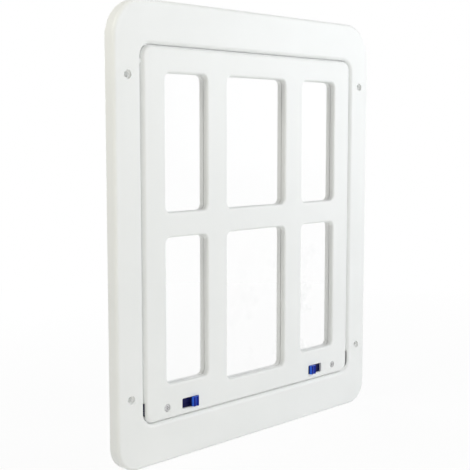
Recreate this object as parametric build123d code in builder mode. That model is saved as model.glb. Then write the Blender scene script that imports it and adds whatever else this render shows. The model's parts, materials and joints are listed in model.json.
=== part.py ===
"""Pet door: a two-part surround, a two-way swinging lattice flap and two slide latches.

Millimetres, with X to the right, Y away from the viewer and Z up. The origin is the centre of the
surround, on the plane where its front and rear halves meet. The flap hangs closed, with both
latches drawn back.
"""

import os

from build123d import *

# Surround
OPENING_WIDTH = 259.4
OPENING_HEIGHT = 301.4
OPENING_CORNER = 10.0
OPENING_EDGE_ROUND = 3.5
SIDE_RAIL = 26.8
END_RAIL = 34.3
FRAME_TOP_CORNER = 31.0
FRAME_BOTTOM_CORNER = 20.0
FRAME_FRONT_DEPTH = 5.0
FRAME_REAR_DEPTH = 6.2
FRAME_FRONT_ROUND = 3.0
FRAME_REAR_ROUND = 0.8

# Recessed screw holes in the side rails, placed from the edges of the opening
MOUNT_HOLE = 4.5
MOUNT_RECESS = 7.0
MOUNT_RECESS_DEPTH = 2.0
MOUNT_OUT_FROM_SIDE = 13.3
MOUNT_IN_FROM_END = 24.2

# Pegs that line up the two halves of the surround
PEG = 5.0
PEG_LENGTH = 3.0
PEG_CLEARANCE = 0.1
PEG_SPACING_ACROSS = 140.0
PEG_SPACING_UP = 80.0

# Flap
FLAP_SIDE_GAP = 1.5
FLAP_END_GAP = 0.8
FLAP_HALF_DEPTH = 5.0
FLAP_EDGE_ROUND = 3.0
SIDE_STILE = 22.9
MULLION = 23.4
TOP_RAIL = 20.5
MIDDLE_RAIL = 20.2
BOTTOM_RAIL = 28.5
MIDDLE_BOTTOM_RAIL = 20.3
MIDDLE_WINDOW_WIDTH = 72.8
UPPER_WINDOW_HEIGHT = 110.6
WINDOW_CORNER = 5.0
WINDOW_FRONT_ROUND = 2.0
WINDOW_REAR_ROUND = 0.4

# Studs that hold the two halves of the flap together
STUD = 4.0
STUD_LENGTH = 2.5
STUD_CLEARANCE = 0.05
STUD_SPACING_UP = 120.0

# Clear pane, trapped between the halves of the flap
PANE_THICKNESS = 0.6
PANE_OVERLAP = 4.0
PANE_CLEARANCE = 0.2

# Hinge pins, held by the flap and turning in the surround
HINGE_DROP = 13.5
PIN = 5.0
PIN_HEAD = 8.0
PIN_HEAD_LENGTH = 2.0
PIN_GRIP = 13.0
PIN_REACH = 8.0
PIN_CHAMFER = 0.6
PIN_SEAT_CLEARANCE = 0.02
PIN_RUNNING_CLEARANCE = 0.06
PIN_END_CLEARANCE = 0.4

# Slide latches in the bottom rail of the flap, placed from the flap's side and bottom edges
LATCH_TRAVEL = 9.5
LATCH_UP = 9.7
LATCH_THICKNESS = 5.6
LATCH_CLEARANCE = 0.15
LATCH_BAR_HEIGHT = 10.2
LATCH_BAR_OVERLAP = 1.5
SLOT_LENGTH = 18.8
SLOT_HEIGHT = 8.6
SLOT_CORNER = 1.0
SLOT_IN_FROM_SIDE = 38.8
TAB_PLAY = 0.3
TAB_PROUD = 3.0
TAB_INNER_SLOPE = 2.4
TAB_OUTER_SLOPE = 1.2
TAB_SCOOP = 0.7
TAB_ROUND = 0.4
BOLT_LENGTH = 16.0
BOLT_HEIGHT = 10.6
BOLT_RISE = 1.8
BOLT_CHAMFER = 0.5
STRIKE_CLEARANCE = 0.7
STRIKE_HEIGHT_CLEARANCE = 1.7

# Screws that hold the halves of the flap together, each through a pillar inside a latch
SCREW_IN_FROM_SIDE = 22.4
SCREW_HEAD = 5.8
SCREW_HEAD_HEIGHT = 1.3
SCREW_HEAD_ROUND = 0.4
SCREW_SHANK = 3.0
SCREW_LENGTH = 7.0
SCREW_CLEARANCE = 0.05
SCREW_RECESS = 6.4
SCREW_RECESS_DEPTH = 1.6
CROSS_LENGTH = 3.0
CROSS_WIDTH = 0.7
CROSS_DEPTH = 0.9
PILLAR = 6.0

# Bar magnets along the bottom of the flap and of the opening
MAGNET_LENGTH = 24.0
MAGNET_HEIGHT = 5.0
MAGNET_THICKNESS = 4.0
MAGNET_WALL = 1.5
MAGNET_CLEARANCE = 0.1
MAGNET_SPACING = 56.0

# Places worked out from the sizes above
SIDES = {"left": -1, "right": 1}
FRONT = -1
REAR = 1
opening_half = OPENING_WIDTH / 2
opening_top = OPENING_HEIGHT / 2
frame_width = OPENING_WIDTH + 2 * SIDE_RAIL
frame_height = OPENING_HEIGHT + 2 * END_RAIL
mount_x = opening_half + MOUNT_OUT_FROM_SIDE
mount_z = opening_top - MOUNT_IN_FROM_END
end_peg = (PEG_SPACING_ACROSS / 2, opening_top + END_RAIL / 2)
side_peg = (opening_half + SIDE_RAIL / 2, PEG_SPACING_UP / 2)
peg_places = [(across * x, up * z) for x, z in (end_peg, side_peg) for across in (-1, 1) for up in (-1, 1)]

flap_width = OPENING_WIDTH - 2 * FLAP_SIDE_GAP
flap_height = OPENING_HEIGHT - 2 * FLAP_END_GAP
flap_side = flap_width / 2
flap_top = flap_height / 2
outer_window_width = (flap_width - MIDDLE_WINDOW_WIDTH) / 2 - MULLION - SIDE_STILE
outer_window_x = flap_side - SIDE_STILE - outer_window_width / 2
upper_window_z = flap_top - TOP_RAIL - UPPER_WINDOW_HEIGHT / 2
lower_window_top = flap_top - TOP_RAIL - UPPER_WINDOW_HEIGHT - MIDDLE_RAIL
columns = [
    (-outer_window_x, outer_window_width, BOTTOM_RAIL),
    (0, MIDDLE_WINDOW_WIDTH, MIDDLE_BOTTOM_RAIL),
    (outer_window_x, outer_window_width, BOTTOM_RAIL),
]

pane_width = flap_width - 2 * SIDE_STILE + 2 * PANE_OVERLAP
pane_top = flap_top - TOP_RAIL + PANE_OVERLAP
pane_bottom = -flap_top + MIDDLE_BOTTOM_RAIL - PANE_OVERLAP
pane_height = pane_top - pane_bottom
pane_z = (pane_top + pane_bottom) / 2
stud_places = [(0, (flap_top + pane_top) / 2), (0, (pane_bottom - flap_top) / 2)]
stud_places += [
    (side * (flap_side + pane_width / 2) / 2, up * STUD_SPACING_UP / 2)
    for side in SIDES.values()
    for up in (-1, 1)
]

hinge_z = opening_top - HINGE_DROP
hinge_axis = Axis((0, 0, hinge_z), (1, 0, 0))
pin_inner = flap_side - PIN_GRIP
pin_outer = opening_half + PIN_REACH

latch_z = -flap_top + LATCH_UP
bolt_z = latch_z + BOLT_RISE
slot_outer = flap_side - SLOT_IN_FROM_SIDE
slot_inner = slot_outer - SLOT_LENGTH
bar_inner = slot_inner - LATCH_TRAVEL - LATCH_BAR_OVERLAP
bolt_inner = flap_side - BOLT_LENGTH
tab_length = SLOT_LENGTH - LATCH_TRAVEL - 2 * TAB_PLAY
tab_height = SLOT_HEIGHT - 2 * TAB_PLAY
tab_reach = FLAP_HALF_DEPTH + TAB_PROUD
strike_outer = flap_side + LATCH_TRAVEL + STRIKE_CLEARANCE
screw_x = flap_side - SCREW_IN_FROM_SIDE
screw_places = [(side * screw_x, latch_z) for side in SIDES.values()]
screw_seat_y = -FLAP_HALF_DEPTH + SCREW_RECESS_DEPTH

flap_magnet_z = -flap_top + MAGNET_WALL + MAGNET_HEIGHT / 2
frame_magnet_z = -opening_top - MAGNET_WALL - MAGNET_HEIGHT / 2


def outer_face(half, facing):
    """The flat face of a half that looks away from the parting plane."""
    return half.faces().sort_by(Axis.Y)[0 if facing == FRONT else -1]


def inner_edges(half, facing):
    """The edges of the holes in a half's outer face."""
    return [edge for wire in outer_face(half, facing).inner_wires() for edge in wire.edges()]


def surround_ring(facing, depth, outer_round):
    """One half of the surround: a rounded ring with its outer and inner edges rounded over."""
    with BuildPart() as ring:
        with BuildSketch(Plane.XZ) as outline:
            Rectangle(frame_width, frame_height)
            fillet(outline.vertices().group_by(Axis.Y)[0], FRAME_BOTTOM_CORNER)
            fillet(outline.vertices().group_by(Axis.Y)[-1], FRAME_TOP_CORNER)
            RectangleRounded(OPENING_WIDTH, OPENING_HEIGHT, OPENING_CORNER, mode=Mode.SUBTRACT)
        extrude(amount=-facing * depth)
        fillet(outer_face(ring, facing).outer_wire().edges(), outer_round)
        fillet(inner_edges(ring, facing), OPENING_EDGE_ROUND)
    return ring.part


def lattice(facing, window_round):
    """One half of the flap: a rounded plate with six windows, all edges rounded over."""
    with BuildPart() as plate:
        with BuildSketch(Plane.XZ):
            RectangleRounded(flap_width, flap_height, OPENING_CORNER - FLAP_SIDE_GAP)
            for x, width, bottom_rail in columns:
                with Locations((x, upper_window_z)):
                    RectangleRounded(width, UPPER_WINDOW_HEIGHT, WINDOW_CORNER, mode=Mode.SUBTRACT)
                lower_window_bottom = -flap_top + bottom_rail
                with Locations((x, (lower_window_top + lower_window_bottom) / 2)):
                    height = lower_window_top - lower_window_bottom
                    RectangleRounded(width, height, WINDOW_CORNER, mode=Mode.SUBTRACT)
        extrude(amount=-facing * FLAP_HALF_DEPTH)
        fillet(outer_face(plate, facing).outer_wire().edges(), FLAP_EDGE_ROUND)
        fillet(inner_edges(plate, facing), window_round)
    return plate.part


# Hollows that the two halves of the surround share: pin sockets, bolt pockets, magnets, screw holes
with BuildPart() as frame_hollows:
    for side in SIDES.values():
        with BuildSketch(Plane.YZ.offset(side * flap_side)):
            with Locations((0, hinge_z)):
                Circle(PIN / 2 + PIN_RUNNING_CLEARANCE)
        extrude(amount=side * (pin_outer + PIN_END_CLEARANCE - flap_side))
        with BuildSketch(Plane.YZ.offset(side * flap_side)):
            with Locations((0, bolt_z)):
                Rectangle(LATCH_THICKNESS + 2 * STRIKE_CLEARANCE, BOLT_HEIGHT + 2 * STRIKE_HEIGHT_CLEARANCE)
        extrude(amount=side * (strike_outer - flap_side))
        with Locations((side * MAGNET_SPACING / 2, 0, frame_magnet_z)):
            Box(
                MAGNET_LENGTH + 2 * MAGNET_CLEARANCE,
                MAGNET_THICKNESS + 2 * MAGNET_CLEARANCE,
                MAGNET_HEIGHT + 2 * MAGNET_CLEARANCE,
            )
    with BuildSketch(Plane.XZ.offset(-FRAME_REAR_DEPTH)):
        with GridLocations(2 * mount_x, 2 * mount_z, 2, 2):
            Circle(MOUNT_HOLE / 2)
    extrude(amount=FRAME_REAR_DEPTH + FRAME_FRONT_DEPTH)
    rear_recess_plane = Plane.XZ.offset(MOUNT_RECESS_DEPTH - FRAME_REAR_DEPTH)
    with BuildSketch(Plane.XZ.offset(FRAME_FRONT_DEPTH), rear_recess_plane):
        with GridLocations(2 * mount_x, 2 * mount_z, 2, 2):
            Circle(MOUNT_RECESS / 2)
    extrude(amount=-MOUNT_RECESS_DEPTH)

front_ring = surround_ring(FRONT, FRAME_FRONT_DEPTH, FRAME_FRONT_ROUND)
with BuildPart() as front_frame:
    add(front_ring)
    add(frame_hollows.part, mode=Mode.SUBTRACT)
    with BuildSketch(Plane.XZ):
        with Locations(peg_places):
            Circle(PEG / 2 + PEG_CLEARANCE)
    extrude(amount=PEG_LENGTH + PEG_CLEARANCE, mode=Mode.SUBTRACT)

rear_ring = surround_ring(REAR, FRAME_REAR_DEPTH, FRAME_REAR_ROUND)
with BuildPart() as rear_frame:
    add(rear_ring)
    add(frame_hollows.part, mode=Mode.SUBTRACT)
    with BuildSketch(Plane.XZ):
        with Locations(peg_places):
            Circle(PEG / 2)
    extrude(amount=PEG_LENGTH)

# Hollows that the two halves of the flap share: pane, pin seats, latch channels, magnets
with BuildPart() as flap_hollows:
    with BuildSketch(Plane.XZ.offset(-PANE_THICKNESS / 2)):
        with Locations((0, pane_z)):
            Rectangle(pane_width + 2 * PANE_CLEARANCE, pane_height + 2 * PANE_CLEARANCE)
    extrude(amount=PANE_THICKNESS)
    for side in SIDES.values():
        with BuildSketch(Plane.YZ.offset(side * (pin_inner - PIN_SEAT_CLEARANCE))):
            with Locations((0, hinge_z)):
                Circle(PIN / 2 + PIN_SEAT_CLEARANCE)
        extrude(amount=side * PIN_GRIP * 2)
        with BuildSketch(Plane.YZ.offset(side * (pin_inner - PIN_SEAT_CLEARANCE))):
            with Locations((0, hinge_z)):
                Circle(PIN_HEAD / 2 + PIN_SEAT_CLEARANCE)
        extrude(amount=side * (PIN_HEAD_LENGTH + 2 * PIN_SEAT_CLEARANCE))
        with BuildSketch(Plane.YZ.offset(side * (bar_inner - LATCH_CLEARANCE))):
            with Locations((0, latch_z)):
                Rectangle(LATCH_THICKNESS + 2 * LATCH_CLEARANCE, LATCH_BAR_HEIGHT + 2 * LATCH_CLEARANCE)
        extrude(amount=side * (bolt_inner + LATCH_TRAVEL - bar_inner + 2 * LATCH_CLEARANCE))
        with BuildSketch(Plane.YZ.offset(side * (bolt_inner - LATCH_CLEARANCE))):
            with Locations((0, bolt_z)):
                Rectangle(LATCH_THICKNESS + 2 * LATCH_CLEARANCE, BOLT_HEIGHT + 2 * LATCH_CLEARANCE)
        extrude(amount=side * BOLT_LENGTH * 2)
        with BuildSketch(Plane.XZ.offset(-FLAP_HALF_DEPTH)):
            with Locations((side * screw_x, latch_z)):
                Circle(PILLAR / 2)
        extrude(amount=2 * FLAP_HALF_DEPTH, mode=Mode.SUBTRACT)
        with Locations((side * MAGNET_SPACING / 2, 0, flap_magnet_z)):
            Box(
                MAGNET_LENGTH + 2 * MAGNET_CLEARANCE,
                MAGNET_THICKNESS + 2 * MAGNET_CLEARANCE,
                MAGNET_HEIGHT + 2 * MAGNET_CLEARANCE,
            )

front_lattice = lattice(FRONT, WINDOW_FRONT_ROUND)
with BuildPart() as flap_front:
    add(front_lattice)
    add(flap_hollows.part, mode=Mode.SUBTRACT)
    with BuildSketch(Plane.XZ.offset(FLAP_HALF_DEPTH)):
        for side in SIDES.values():
            with Locations((side * (slot_inner + slot_outer) / 2, latch_z)):
                RectangleRounded(SLOT_LENGTH, SLOT_HEIGHT, SLOT_CORNER)
    extrude(amount=-FLAP_HALF_DEPTH + LATCH_THICKNESS / 2, mode=Mode.SUBTRACT)
    with BuildSketch(Plane.XZ.offset(FLAP_HALF_DEPTH)):
        with Locations(screw_places):
            Circle(SCREW_RECESS / 2)
    extrude(amount=-SCREW_RECESS_DEPTH, mode=Mode.SUBTRACT)
    with BuildSketch(Plane.XZ):
        with Locations(screw_places):
            Circle(SCREW_SHANK / 2 + SCREW_CLEARANCE)
    extrude(amount=FLAP_HALF_DEPTH, mode=Mode.SUBTRACT)
    with BuildSketch(Plane.XZ):
        with Locations(stud_places):
            Circle(STUD / 2)
    extrude(amount=-STUD_LENGTH)

rear_lattice = lattice(REAR, WINDOW_REAR_ROUND)
with BuildPart() as flap_rear:
    add(rear_lattice)
    add(flap_hollows.part, mode=Mode.SUBTRACT)
    with BuildSketch(Plane.XZ):
        with Locations(screw_places):
            Circle(SCREW_SHANK / 2 + SCREW_CLEARANCE)
    extrude(amount=-(screw_seat_y + SCREW_LENGTH + SCREW_CLEARANCE), mode=Mode.SUBTRACT)
    with BuildSketch(Plane.XZ):
        with Locations(stud_places):
            Circle(STUD / 2 + STUD_CLEARANCE)
    extrude(amount=-STUD_LENGTH - STUD_CLEARANCE, mode=Mode.SUBTRACT)

with BuildPart() as pane:
    with BuildSketch(Plane.XZ.offset(-PANE_THICKNESS / 2)):
        with Locations((0, pane_z)):
            Rectangle(pane_width, pane_height)
    extrude(amount=PANE_THICKNESS)

# Each hinge pin has a head inside the flap and a chamfered end inside the surround
with BuildPart() as right_hinge_pin:
    with BuildSketch(Plane.XZ):
        with Locations((pin_inner, hinge_z)):
            Rectangle(pin_outer - pin_inner, PIN / 2, align=Align.MIN)
            Rectangle(PIN_HEAD_LENGTH, PIN_HEAD / 2, align=Align.MIN)
    revolve(axis=hinge_axis)
    chamfer(right_hinge_pin.faces().sort_by(Axis.X)[-1].edges(), PIN_CHAMFER)

with BuildPart() as left_hinge_pin:
    mirror(right_hinge_pin.part, about=Plane.YZ)

# Each latch is a bar with a slot round the screw pillar, a raised bolt and a scooped thumb tab
with BuildPart() as right_latch:
    with BuildSketch(Plane.XZ.offset(-LATCH_THICKNESS / 2)):
        with Locations((bar_inner, latch_z)):
            Rectangle(bolt_inner - bar_inner, LATCH_BAR_HEIGHT, align=(Align.MIN, Align.CENTER))
        with Locations((bolt_inner, bolt_z)):
            Rectangle(BOLT_LENGTH, BOLT_HEIGHT, align=(Align.MIN, Align.CENTER))
        with Locations((screw_x - LATCH_TRAVEL / 2, latch_z)):
            SlotCenterToCenter(LATCH_TRAVEL, PILLAR + 2 * LATCH_CLEARANCE, mode=Mode.SUBTRACT)
    extrude(amount=LATCH_THICKNESS)
    chamfer(right_latch.faces().sort_by(Axis.X)[-1].edges(), BOLT_CHAMFER)
    with BuildSketch(Plane.XY.offset(latch_z - tab_height / 2)):
        with BuildLine():
            tab_start = slot_inner + TAB_PLAY
            tab_end = tab_start + tab_length
            crest_start = (tab_start + TAB_INNER_SLOPE, -tab_reach)
            crest_end = (tab_end - TAB_OUTER_SLOPE, -tab_reach)
            base_start = (tab_start, -LATCH_THICKNESS / 2)
            base_end = (tab_end, -LATCH_THICKNESS / 2)
            Polyline(crest_start, base_start, base_end, crest_end)
            scoop_bottom = ((crest_start[0] + crest_end[0]) / 2, -tab_reach + TAB_SCOOP)
            ThreePointArc(crest_end, scoop_bottom, crest_start)
        make_face()
    extrude(amount=tab_height)
    tab_crests = right_latch.edges().filter_by(Axis.Z).group_by(Axis.Y)[0]
    fillet(tab_crests, TAB_ROUND)

with BuildPart() as left_latch:
    mirror(right_latch.part, about=Plane.YZ)

# The pair of screws in the flap, with crossed driver slots
with BuildPart() as flap_screws:
    with BuildSketch(Plane.XZ.offset(-screw_seat_y)):
        with Locations(screw_places):
            Circle(SCREW_HEAD / 2)
    extrude(amount=SCREW_HEAD_HEIGHT)
    fillet(flap_screws.edges().group_by(Axis.Y)[0], SCREW_HEAD_ROUND)
    with BuildSketch(Plane.XZ.offset(-screw_seat_y)):
        with Locations(screw_places):
            Circle(SCREW_SHANK / 2)
    extrude(amount=-SCREW_LENGTH)
    with BuildSketch(Plane.XZ.offset(SCREW_HEAD_HEIGHT - screw_seat_y)):
        with Locations(screw_places):
            Rectangle(CROSS_LENGTH, CROSS_WIDTH)
            Rectangle(CROSS_WIDTH, CROSS_LENGTH)
    extrude(amount=-CROSS_DEPTH, mode=Mode.SUBTRACT)

pieces = {
    "front_frame": front_frame,
    "rear_frame": rear_frame,
    "flap_front": flap_front,
    "flap_rear": flap_rear,
    "pane": pane,
    "left_hinge_pin": left_hinge_pin,
    "right_hinge_pin": right_hinge_pin,
    "left_latch": left_latch,
    "right_latch": right_latch,
    "flap_screws": flap_screws,
}

for name, side in SIDES.items():
    for holder, z in (("flap", flap_magnet_z), ("frame", frame_magnet_z)):
        with BuildPart() as magnet:
            with Locations((side * MAGNET_SPACING / 2, 0, z)):
                Box(MAGNET_LENGTH, MAGNET_THICKNESS, MAGNET_HEIGHT)
        pieces[f"{name}_{holder}_magnet"] = magnet

os.makedirs("parts", exist_ok=True)
for name, piece in pieces.items():
    piece.part.label = name
    export_step(piece.part, f"parts/{name}.step")
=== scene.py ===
"""Looks of the pet door: moulded white plastic, blue latches, clear pane, studio stage and camera."""

import json

import bpy
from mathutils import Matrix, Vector


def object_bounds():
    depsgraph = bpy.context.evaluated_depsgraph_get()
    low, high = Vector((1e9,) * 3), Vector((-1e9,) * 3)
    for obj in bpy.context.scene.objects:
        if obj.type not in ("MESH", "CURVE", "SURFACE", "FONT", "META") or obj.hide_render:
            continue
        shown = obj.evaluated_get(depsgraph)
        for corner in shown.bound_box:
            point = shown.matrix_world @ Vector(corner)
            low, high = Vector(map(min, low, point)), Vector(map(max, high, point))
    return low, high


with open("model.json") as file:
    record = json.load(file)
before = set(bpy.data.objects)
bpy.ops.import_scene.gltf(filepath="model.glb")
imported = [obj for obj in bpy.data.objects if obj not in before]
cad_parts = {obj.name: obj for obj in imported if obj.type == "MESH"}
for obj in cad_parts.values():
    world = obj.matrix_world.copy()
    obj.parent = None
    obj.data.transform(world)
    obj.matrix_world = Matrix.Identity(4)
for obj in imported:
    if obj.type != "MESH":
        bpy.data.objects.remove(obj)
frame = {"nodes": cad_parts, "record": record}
cad_low, cad_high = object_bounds()
scene = bpy.context.scene

# Camera, fitted to the photograph
CAMERA_PLACE = Vector((-0.6078, -0.58, 0.0806))
CAMERA_AIM = Vector((0.7064, 0.7002, -0.1037))
LENS_MM = 73.44
SENSOR_MM = 36.0

# Noise values between which a clouded colour goes from its first tone to its second
CLOUD_LIMITS = (0.3, 0.7)
# Scale of the fine grain that the mould leaves on plastic
MOULD_GRAIN_SCALE = 2200.0

# White plastic of the surround, the flap and the pins
WHITE_TONES = ((0.9, 0.909, 0.905), (0.925, 0.931, 0.928))
WHITE_CLOUD_SCALE = 14.0
WHITE_ROUGHNESS = (0.34, 0.46)
WHITE_ROUGHNESS_SCALE = 60.0
WHITE_GRAIN_DEPTH = 0.00006
WHITE_GRAIN_STRENGTH = 0.4
WHITE_SPECULAR = 0.35

# Blue latches: depths of the bar's face and of the tab's crests, and the blue at shares of the way
# between; the navy on the bar and the darker blue in the scoop are painted shade
BAR_FACE_Y = -0.0029
TAB_CREST_Y = -0.0079
BAR_PAINTED_SHADE_NAVY = (0.006, 0.007, 0.06)
TAB_BLUE = (0.035, 0.13, 0.72)
SCOOP_PAINTED_SHADE_BLUE = (0.004, 0.014, 0.24)
LATCH_BLUES_WITH_PAINTED_SHADE = ((0.4, BAR_PAINTED_SHADE_NAVY), (0.62, TAB_BLUE), (0.84, TAB_BLUE), (0.9, SCOOP_PAINTED_SHADE_BLUE))
BLUE_CLOUD_SCALE = 160.0
BLUE_CLOUD_LIFT = 1.25
BLUE_ROUGHNESS = (0.22, 0.34)
BLUE_GRAIN_DEPTH = 0.00003
BLUE_GRAIN_STRENGTH = 0.3
BLUE_SPECULAR = 0.1

# Steel of the screws
STEEL_TONES = ((0.45, 0.45, 0.46), (0.68, 0.68, 0.68))
STEEL_MARK_SCALE = 900.0
STEEL_MARK_LIMITS = (0.25, 0.75)
STEEL_ROUGHNESS = (0.28, 0.5)

# Ferrite of the magnets
FERRITE_TONES = ((0.05, 0.05, 0.055), (0.13, 0.13, 0.135))
FERRITE_GRAIN_SCALE = 1500.0
FERRITE_ROUGHNESS = (0.55, 0.8)

# Clear pane: how much of what is behind it is covered where it is clean and where it carries smears and a
# painted reflection
PANE_ALPHA = (0.03, 0.3)
SMEAR_AND_REFLECTION_SCALE = 26.0
SMEAR_AND_REFLECTION_LIMITS = (0.5, 0.72)
# Z and X over which the smears and the painted reflection come in, downwards and to the right
PAINTED_REFLECTION_Z = (-0.01, -0.06)
PAINTED_REFLECTION_X = (-0.04, 0.08)
HAZE_TONES = ((0.84, 0.86, 0.86), (0.93, 0.94, 0.94))
HAZE_SCALE = 30.0
HAZE_ROUGHNESS = (0.05, 0.12)

# Floor, and how white it looks at the nearer and the further of two distances
FLOOR_SIZE = 6.0
FLOOR_DROP = 0.0002
FLOOR_COLOUR = (0.9, 0.9, 0.9)
FLOOR_ROUGHNESS = 0.9
FLOOR_WHITENESS = (0.92, 1.0)
FLOOR_DISTANCES = (0.2, 0.9)

# Surroundings: strength as a light and strength as they look
SURROUNDINGS_COLOUR = (1.0, 1.0, 1.0)
SURROUNDINGS_STRENGTH = (0.22, 1.0)

# Place, width, watts and colour of each lamp
COOL = (0.96, 0.985, 1.0)
WARM = (1.0, 0.985, 0.88)
LAMPS = {
    "key": ((0.45, -0.77, 0.5), 0.6, 3.7, COOL),
    "right": ((0.95, -0.8, 0.25), 0.5, 3.1, COOL),
    "left": ((-0.7, 0.0, 0.6), 0.2, 2.5, WARM),
    "front": ((-0.66, -0.63, 0.12), 0.3, 1.2, WARM),
    "back": ((0.25, 1.0, 0.2), 0.6, 4.5, COOL),
}

# Sockets of a Mix node that take and give its colours, which share their names with other sockets
MIX_FIRST = 6
MIX_SECOND = 7
MIX_RESULT = 2


class Nodes:
    """A short way to write a node tree."""

    def __init__(self, tree):
        self.tree = tree
        tree.nodes.clear()

    def add(self, kind, **values):
        node = self.tree.nodes.new(kind)
        for name, value in values.items():
            setattr(node, name, value)
        return node

    def link(self, source, target):
        self.tree.links.new(source, target)


def new_material(name):
    """A material, its nodes, its Principled surface and its output."""
    material = bpy.data.materials.new(name)
    material.use_nodes = True
    nodes = Nodes(material.node_tree)
    surface = nodes.add("ShaderNodeBsdfPrincipled")
    output = nodes.add("ShaderNodeOutputMaterial")
    nodes.link(surface.outputs["BSDF"], output.inputs["Surface"])
    return material, nodes, surface, output


def object_coordinates(nodes):
    return nodes.add("ShaderNodeTexCoord").outputs["Object"]


def axes(nodes, place):
    """X, Y and Z of a place, by name."""
    node = nodes.add("ShaderNodeSeparateXYZ")
    nodes.link(place, node.inputs["Vector"])
    return node.outputs


def noise(nodes, place, scale, detail):
    texture = nodes.add("ShaderNodeTexNoise")
    texture.inputs["Scale"].default_value = scale
    texture.inputs["Detail"].default_value = detail
    nodes.link(place, texture.inputs["Vector"])
    return texture.outputs["Fac"]


def bands(nodes, value, stops):
    """Colours that follow value through stops, each a position and a colour."""
    node = nodes.add("ShaderNodeValToRGB")
    elements = node.color_ramp.elements
    elements.remove(elements[1])
    (first_position, first_colour), *others = stops
    elements[0].position = first_position
    elements[0].color = (*first_colour, 1.0)
    for position, colour in others:
        elements.new(position).color = (*colour, 1.0)
    nodes.link(value, node.inputs["Fac"])
    return node.outputs["Color"]


def clouded(nodes, value, tones, limits=CLOUD_LIMITS):
    """Colours from the first tone to the second as value goes from one limit to the other."""
    return bands(nodes, value, zip(limits, tones))


def spread(nodes, value, results, limits=(0.0, 1.0)):
    """A number from the first result to the second as value goes from one limit to the other."""
    node = nodes.add("ShaderNodeMapRange")
    node.inputs["From Min"].default_value = limits[0]
    node.inputs["From Max"].default_value = limits[1]
    node.inputs["To Min"].default_value = results[0]
    node.inputs["To Max"].default_value = results[1]
    nodes.link(value, node.inputs["Value"])
    return node.outputs["Result"]


def between(nodes, value, limits):
    """A number from 0 to 1 as value goes from one limit to the other, up or down."""
    return spread(nodes, value, (0.0, 1.0), limits)


def combine(nodes, operation, first, second):
    node = nodes.add("ShaderNodeMath", operation=operation)
    nodes.link(first, node.inputs[0])
    nodes.link(second, node.inputs[1])
    return node.outputs[0]


def mould_grain(nodes, place, depth, strength):
    """Surface direction with the fine grain of a mould."""
    node = nodes.add("ShaderNodeBump")
    node.inputs["Strength"].default_value = strength
    node.inputs["Distance"].default_value = depth
    nodes.link(noise(nodes, place, MOULD_GRAIN_SCALE, detail=1.0), node.inputs["Height"])
    return node.outputs["Normal"]


def lighter(colour, times):
    return tuple(channel * times for channel in colour)


def white_moulding():
    """White plastic: faint clouds in its colour, uneven gloss and a fine grain."""
    material, nodes, surface, _ = new_material("white_moulding")
    place = object_coordinates(nodes)
    clouds = noise(nodes, place, WHITE_CLOUD_SCALE, detail=4.0)
    nodes.link(clouded(nodes, clouds, WHITE_TONES), surface.inputs["Base Color"])
    dullness = noise(nodes, place, WHITE_ROUGHNESS_SCALE, detail=3.0)
    nodes.link(spread(nodes, dullness, WHITE_ROUGHNESS), surface.inputs["Roughness"])
    grain = mould_grain(nodes, place, WHITE_GRAIN_DEPTH, WHITE_GRAIN_STRENGTH)
    nodes.link(grain, surface.inputs["Normal"])
    surface.inputs["Specular IOR Level"].default_value = WHITE_SPECULAR
    return material


def blue_moulding():
    """Blue plastic with painted shade: navy on the bar down in its slot and a darker blue in the tab's
    scoop, so the tab's sides look brighter.
    """
    material, nodes, surface, _ = new_material("blue_moulding")
    place = object_coordinates(nodes)
    clouds = noise(nodes, place, BLUE_CLOUD_SCALE, detail=3.0)
    # Depth in the latch picks the blue: the navy bar and the dark scoop are painted shade
    depth = between(nodes, axes(nodes, place)["Y"], (BAR_FACE_Y, TAB_CREST_Y))
    lighter_blues_with_painted_shade = [(share, lighter(colour, BLUE_CLOUD_LIFT)) for share, colour in LATCH_BLUES_WITH_PAINTED_SHADE]
    mix = nodes.add("ShaderNodeMix", data_type="RGBA")
    nodes.link(between(nodes, clouds, CLOUD_LIMITS), mix.inputs["Factor"])
    nodes.link(bands(nodes, depth, LATCH_BLUES_WITH_PAINTED_SHADE), mix.inputs[MIX_FIRST])
    nodes.link(bands(nodes, depth, lighter_blues_with_painted_shade), mix.inputs[MIX_SECOND])
    nodes.link(mix.outputs[MIX_RESULT], surface.inputs["Base Color"])
    nodes.link(spread(nodes, clouds, BLUE_ROUGHNESS), surface.inputs["Roughness"])
    grain = mould_grain(nodes, place, BLUE_GRAIN_DEPTH, BLUE_GRAIN_STRENGTH)
    nodes.link(grain, surface.inputs["Normal"])
    surface.inputs["Specular IOR Level"].default_value = BLUE_SPECULAR
    return material


def screw_metal():
    """Steel with fine marks that change its tone and its gloss together."""
    material, nodes, surface, _ = new_material("screw_metal")
    marks = noise(nodes, object_coordinates(nodes), STEEL_MARK_SCALE, detail=3.0)
    nodes.link(clouded(nodes, marks, STEEL_TONES, STEEL_MARK_LIMITS), surface.inputs["Base Color"])
    nodes.link(spread(nodes, marks, STEEL_ROUGHNESS), surface.inputs["Roughness"])
    surface.inputs["Metallic"].default_value = 1.0
    return material


def pressed_ferrite():
    """Dark grey ferrite with a pressed grain."""
    material, nodes, surface, _ = new_material("pressed_ferrite")
    grain = noise(nodes, object_coordinates(nodes), FERRITE_GRAIN_SCALE, detail=4.0)
    nodes.link(clouded(nodes, grain, FERRITE_TONES), surface.inputs["Base Color"])
    nodes.link(spread(nodes, grain, FERRITE_ROUGHNESS), surface.inputs["Roughness"])
    return material


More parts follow.
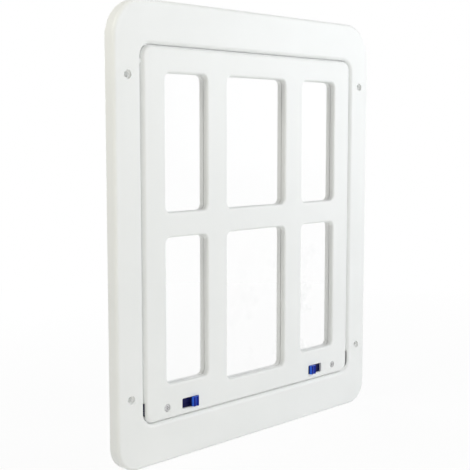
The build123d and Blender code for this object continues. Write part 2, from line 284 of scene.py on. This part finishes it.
def clear_sheet():
    """Clear plastic: smears and a painted dull reflection gather low down on the right as a greyer cover.
    """
    material, nodes, surface, _ = new_material("clear_sheet")
    place = object_coordinates(nodes)
    place_axes = axes(nodes, place)
    # The smear mask also paints a reflection: the grey haze covers more of the view low down on the right
    smears_and_painted_reflection = between(nodes, noise(nodes, place, SMEAR_AND_REFLECTION_SCALE, detail=5.0), SMEAR_AND_REFLECTION_LIMITS)
    smears_and_painted_reflection = combine(nodes, "MULTIPLY", smears_and_painted_reflection, between(nodes, place_axes["Z"], PAINTED_REFLECTION_Z))
    smears_and_painted_reflection = combine(nodes, "MULTIPLY", smears_and_painted_reflection, between(nodes, place_axes["X"], PAINTED_REFLECTION_X))
    nodes.link(spread(nodes, smears_and_painted_reflection, PANE_ALPHA), surface.inputs["Alpha"])
    haze = noise(nodes, place, HAZE_SCALE, detail=3.0)
    nodes.link(clouded(nodes, haze, HAZE_TONES), surface.inputs["Base Color"])
    nodes.link(spread(nodes, haze, HAZE_ROUGHNESS), surface.inputs["Roughness"])
    return material


def dress(nodes_by_name, subparts):
    """Gives each node the finish of the material slot that the record names for it."""
    finishes = {
        "white_plastic": white_moulding(),
        "blue_plastic": blue_moulding(),
        "clear_plastic": clear_sheet(),
        "screw_steel": screw_metal(),
        "magnet": pressed_ferrite(),
    }
    for part in subparts:
        for slot in nodes_by_name[part["node"]].material_slots:
            slot.material = finishes[part["material_slot"]]


def seen_directly(nodes):
    """1 for rays from the camera, mirrors and glass, and 0 for light that falls on the object."""
    path = nodes.add("ShaderNodeLightPath")
    total = path.outputs["Is Camera Ray"]
    for kind in ("Is Glossy Ray", "Is Transmission Ray"):
        total = combine(nodes, "MAXIMUM", total, path.outputs[kind])
    return total


def white_surroundings():
    """A world that is dimmer as a light than it looks."""
    world = bpy.data.worlds.new("studio")
    world.use_nodes = True
    nodes = Nodes(world.node_tree)
    background = nodes.add("ShaderNodeBackground")
    background.inputs["Color"].default_value = (*SURROUNDINGS_COLOUR, 1.0)
    strength = spread(nodes, seen_directly(nodes), SURROUNDINGS_STRENGTH)
    nodes.link(strength, background.inputs["Strength"])
    output = nodes.add("ShaderNodeOutputWorld")
    nodes.link(background.outputs["Background"], output.inputs["Surface"])
    return world


def pale_floor():
    """Near the object the floor shows its shadow, and further off it is as white as the background."""
    material, nodes, surface, output = new_material("pale_floor")
    surface.inputs["Base Color"].default_value = (*FLOOR_COLOUR, 1.0)
    surface.inputs["Roughness"].default_value = FLOOR_ROUGHNESS
    glow = nodes.add("ShaderNodeEmission")
    distance = nodes.add("ShaderNodeVectorMath", operation="LENGTH")
    nodes.link(object_coordinates(nodes), distance.inputs[0])
    whiteness = spread(nodes, distance.outputs["Value"], FLOOR_WHITENESS, FLOOR_DISTANCES)
    mix = nodes.add("ShaderNodeMixShader")
    nodes.link(combine(nodes, "MULTIPLY", seen_directly(nodes), whiteness), mix.inputs["Fac"])
    nodes.link(surface.outputs["BSDF"], mix.inputs[1])
    nodes.link(glow.outputs["Emission"], mix.inputs[2])
    nodes.link(mix.outputs["Shader"], output.inputs["Surface"])
    return material


def lay_floor(height):
    """A flat square floor at the given height."""
    half = FLOOR_SIZE / 2
    corners = [(x, y, height) for x, y in ((-half, -half), (half, -half), (half, half), (-half, half))]
    mesh = bpy.data.meshes.new("floor")
    mesh.from_pydata(corners, [], [(0, 1, 2, 3)])
    mesh.materials.append(pale_floor())
    floor = bpy.data.objects.new("floor", mesh)
    scene.collection.objects.link(floor)
    return floor


def face(direction):
    """Turn of a lamp or camera that looks along a direction."""
    return direction.to_track_quat("-Z", "Y").to_euler()


def area_light(name, place, size, watts, colour):
    """A square soft light that faces the object."""
    data = bpy.data.lights.new(name, "AREA")
    data.size = size
    data.energy = watts
    data.color = colour
    lamp = bpy.data.objects.new(name, data)
    lamp.location = place
    lamp.rotation_euler = face(-Vector(place))
    lamp.visible_camera = False
    scene.collection.objects.link(lamp)


def place_camera():
    data = bpy.data.cameras.new("camera")
    data.lens = LENS_MM
    data.sensor_width = SENSOR_MM
    camera = bpy.data.objects.new("camera", data)
    camera.location = CAMERA_PLACE
    camera.rotation_euler = face(CAMERA_AIM)
    scene.collection.objects.link(camera)
    return camera


dress(frame["nodes"], frame["record"]["subparts"])
scene.world = white_surroundings()
floor = lay_floor(cad_low[2] - FLOOR_DROP)
for lamp_name, settings in LAMPS.items():
    area_light(lamp_name, *settings)
scene.camera = place_camera()
scene.view_settings.view_transform = "Standard"
